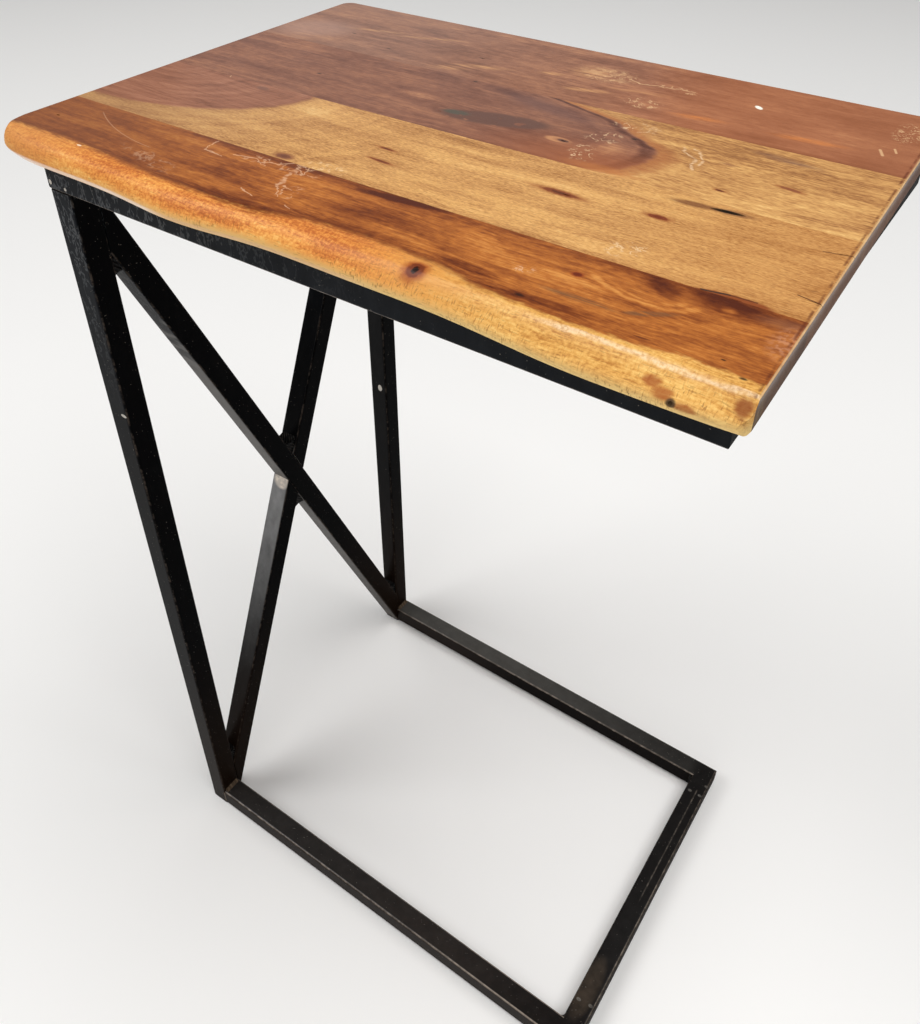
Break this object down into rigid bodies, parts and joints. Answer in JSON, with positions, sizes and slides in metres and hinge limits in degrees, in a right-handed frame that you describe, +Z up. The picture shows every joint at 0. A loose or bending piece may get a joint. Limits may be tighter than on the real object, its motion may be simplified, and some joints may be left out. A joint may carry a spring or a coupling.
{
  "type": "c-shaped side table",
  "caption": "C-shaped side table: a live-edge solid wood top on a black square-tube frame with two cross-braced legs at one end and an open base.",
  "frame": {"origin": "on the floor, under the centre of the rectangle that bounds the top", "axes": "+X towards the free end of the C, +Y towards the back board, +Z up; the live edge is at -Y and the legs are at -X"},
  "size_m": [0.4299, 0.3092, 0.636],
  "materials": {
    "top_wood": "satin clear lacquer",
    "frame_paint": "satin black",
    "screw_steel": "dark plated",
    "foot_plastic": "matte",
    "pad_rubber": "matte"
  },
  "bodies": {
    "root": {"front_live_edge_board": "top_wood", "front_middle_board": "top_wood", "back_middle_board": "top_wood", "back_board": "top_wood", "top_rail_front": "frame_paint", "top_rail_back": "frame_paint", "top_rail_left": "frame_paint", "top_rail_right": "frame_paint", "leg_front": "frame_paint", "leg_back": "frame_paint", "brace_long": "frame_paint", "brace_upper_half": "frame_paint", "brace_lower_half": "frame_paint", "base_rail_front": "frame_paint", "base_rail_back": "frame_paint", "base_rail_right": "frame_paint", "foot_welds": "frame_paint", "leg_top_welds": "frame_paint", "brace_end_welds": "frame_paint", "crossing_welds": "frame_paint", "base_corner_welds": "frame_paint", "top_corner_welds": "frame_paint", "top_screws": "screw_steel", "foot_plug_front": "foot_plastic", "foot_plug_back": "foot_plastic", "glide_pad_front": "pad_rubber", "glide_pad_back": "pad_rubber"}
  },
  "joints": []
}
